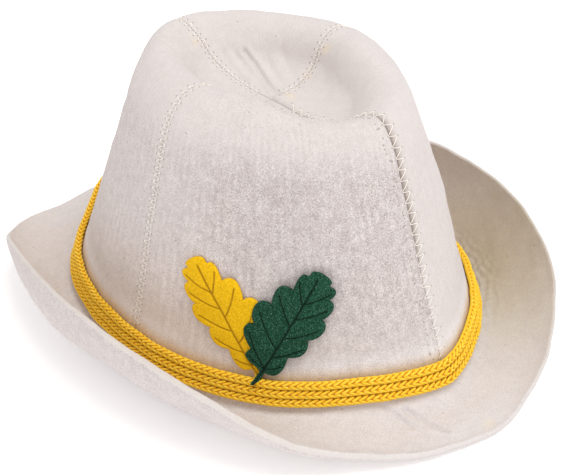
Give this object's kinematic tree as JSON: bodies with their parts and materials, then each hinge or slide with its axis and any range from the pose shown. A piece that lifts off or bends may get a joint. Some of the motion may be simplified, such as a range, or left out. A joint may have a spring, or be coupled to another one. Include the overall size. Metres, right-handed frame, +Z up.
{
  "type": "tyrolean hat",
  "caption": "Thick off-white felt hat with a dented crown, a brim turned up at both sides, a band of knitted golden cords and felt oak leaves.",
  "frame": {"origin": "on the surface the hat rests on, under the middle of its bounding box", "axes": "+X to the wearer's left, +Y to the back of the hat, +Z up; the front seam faces -Y"},
  "size_m": [0.229, 0.2982, 0.1361],
  "materials": {
    "felt": "matte needle-punched wool felt",
    "cord": "matte knitted yarn",
    "leaf_yellow": "matte craft felt",
    "leaf_green": "matte craft felt"
  },
  "bodies": {
    "root": {"crown_front_right": "felt", "crown_front_left": "felt", "crown_back_right": "felt", "crown_back_left": "felt", "brim": "felt", "cord_lower": "cord", "cord_middle": "cord", "cord_upper": "cord", "leaf_yellow": "leaf_yellow", "leaf_green": "leaf_green"}
  },
  "joints": []
}
